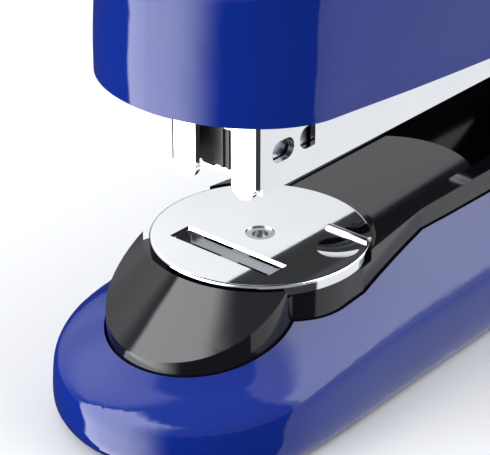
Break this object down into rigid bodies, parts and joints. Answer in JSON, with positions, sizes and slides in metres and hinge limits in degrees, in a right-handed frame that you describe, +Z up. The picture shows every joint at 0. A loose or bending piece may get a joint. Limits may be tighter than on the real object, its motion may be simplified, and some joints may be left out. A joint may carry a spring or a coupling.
{
  "type": "desk stapler",
  "caption": "Long-arm hand stapler: rounded blue cover over a chrome magazine on a rear hinge, turning round anvil on a low oval base.",
  "frame": {"origin": "centre of the base footprint on the floor", "axes": "+Y from the nose towards the hinge, +Z up, +X across"},
  "size_m": [0.0448, 0.1858, 0.0776],
  "materials": {
    "cobalt": "gloss",
    "black_gloss": "gloss",
    "black_matte": "satin",
    "chrome": "polished",
    "zinc_steel": "satin",
    "rubber": "matte"
  },
  "bodies": {
    "base": {"base_shell": "cobalt", "base_insert": "black_gloss", "base_plate": "zinc_steel", "foot_1": "rubber", "foot_2": "rubber", "foot_3": "rubber", "foot_4": "rubber", "plate_screw_1": "zinc_steel", "plate_screw_2": "zinc_steel", "plate_screw_3": "zinc_steel", "plate_screw_4": "zinc_steel", "anvil_rivet": "zinc_steel", "anvil_detent_spring": "zinc_steel", "hinge_bracket": "zinc_steel", "hinge_pin": "zinc_steel", "hinge_circlip": "zinc_steel", "bracket_rivet": "zinc_steel", "leaf_rivet": "zinc_steel", "magazine_return_spring": "zinc_steel"},
    "anvil": {"anvil_disc": "chrome", "anvil_die": "zinc_steel"},
    "magazine": {"magazine_channel": "chrome", "side_strip_right": "chrome", "side_strip_left": "chrome", "staple_rail": "zinc_steel", "front_guide_block": "black_matte", "staple_strip": "zinc_steel", "pusher_rod": "zinc_steel", "rail_end_stop": "black_matte", "spring_seat": "zinc_steel", "pusher_spring": "zinc_steel", "lift_spring": "zinc_steel"},
    "pusher": {"pusher": "black_matte"},
    "lift_lever": {"lift_lever": "zinc_steel", "head_bumper": "rubber"},
    "head": {"cover": "cobalt", "head_frame": "zinc_steel", "driver_blade": "zinc_steel", "blade_clamp": "zinc_steel", "cover_screw_front": "zinc_steel", "cover_screw_rear": "zinc_steel"}
  },
  "joints": [
    {"name": "magazine_press", "type": "hinge", "parent": "base", "child": "magazine", "pos_m": [0, 0.0715, 0.0385], "axis": [1, 0, 0], "range_deg": [0, 4.05], "stiffness_Nm_per_rad": 1.5, "springref_deg": -20.05, "deforming": ["magazine_return_spring"]},
    {"name": "lift_press", "type": "hinge", "parent": "magazine", "child": "lift_lever", "pos_m": [0, 0.0715, 0.0385], "axis": [1, 0, 0], "range_deg": [0, 3.7], "stiffness_Nm_per_rad": 3, "springref_deg": -14.32, "deforming": ["lift_spring"]},
    {"name": "head_open", "type": "hinge", "parent": "lift_lever", "child": "head", "pos_m": [0, 0.0715, 0.0385], "axis": [1, 0, 0], "range_deg": [-50, 0]},
    {"name": "pusher_slide", "type": "slide", "parent": "magazine", "child": "pusher", "axis": [0, 1, 0], "range_m": [0, 0.04], "stiffness_N_per_m": 60, "springref_m": -0.02, "deforming": ["pusher_spring"]},
    {"name": "anvil_turn", "type": "hinge", "parent": "base", "child": "anvil", "pos_m": [0, -0.061, 0.0195], "axis": [0, 0, 1], "range_deg": [0, 180]}
  ]
}
